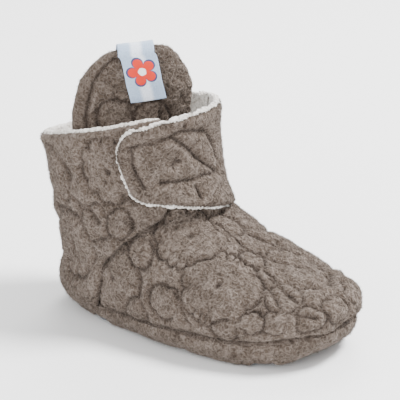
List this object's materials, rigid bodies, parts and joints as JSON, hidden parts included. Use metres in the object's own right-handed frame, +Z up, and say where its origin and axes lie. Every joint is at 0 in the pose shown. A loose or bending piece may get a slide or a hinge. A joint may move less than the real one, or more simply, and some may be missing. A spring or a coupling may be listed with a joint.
{
  "type": "baby fleece bootie",
  "caption": "Ankle-high quilted fleece bootie for a baby's right foot, with a wrap strap, a standing tongue with a ribbon tab, and grip pads under a soft sole.",
  "frame": {"origin": "under the middle of the bootie's bounding box, on the plane of the grip pads that it stands on", "axes": "+X from heel to toe, +Y to the shoe's left, which is the foot's inner side, +Z up"},
  "size_m": [0.1324, 0.063, 0.1036],
  "materials": {
    "fleece": "curly quilted fleece, matt",
    "lining": "short off-white pile, matt",
    "ribbon": "smooth woven ribbon",
    "grip": "smooth moulded dots, satin"
  },
  "bodies": {
    "root": {"upper": "fleece", "strap": "fleece", "tongue": "fleece", "ribbon_tab": "ribbon", "sole": "fleece", "insole": "lining", "grip_1_1": "grip", "grip_1_2": "grip", "grip_1_3": "grip", "grip_1_4": "grip", "grip_1_5": "grip", "grip_2_1": "grip", "grip_2_2": "grip", "grip_2_3": "grip", "grip_2_4": "grip", "grip_2_5": "grip", "grip_3_1": "grip", "grip_3_2": "grip", "grip_3_3": "grip", "grip_3_4": "grip", "grip_3_5": "grip"}
  },
  "joints": []
}
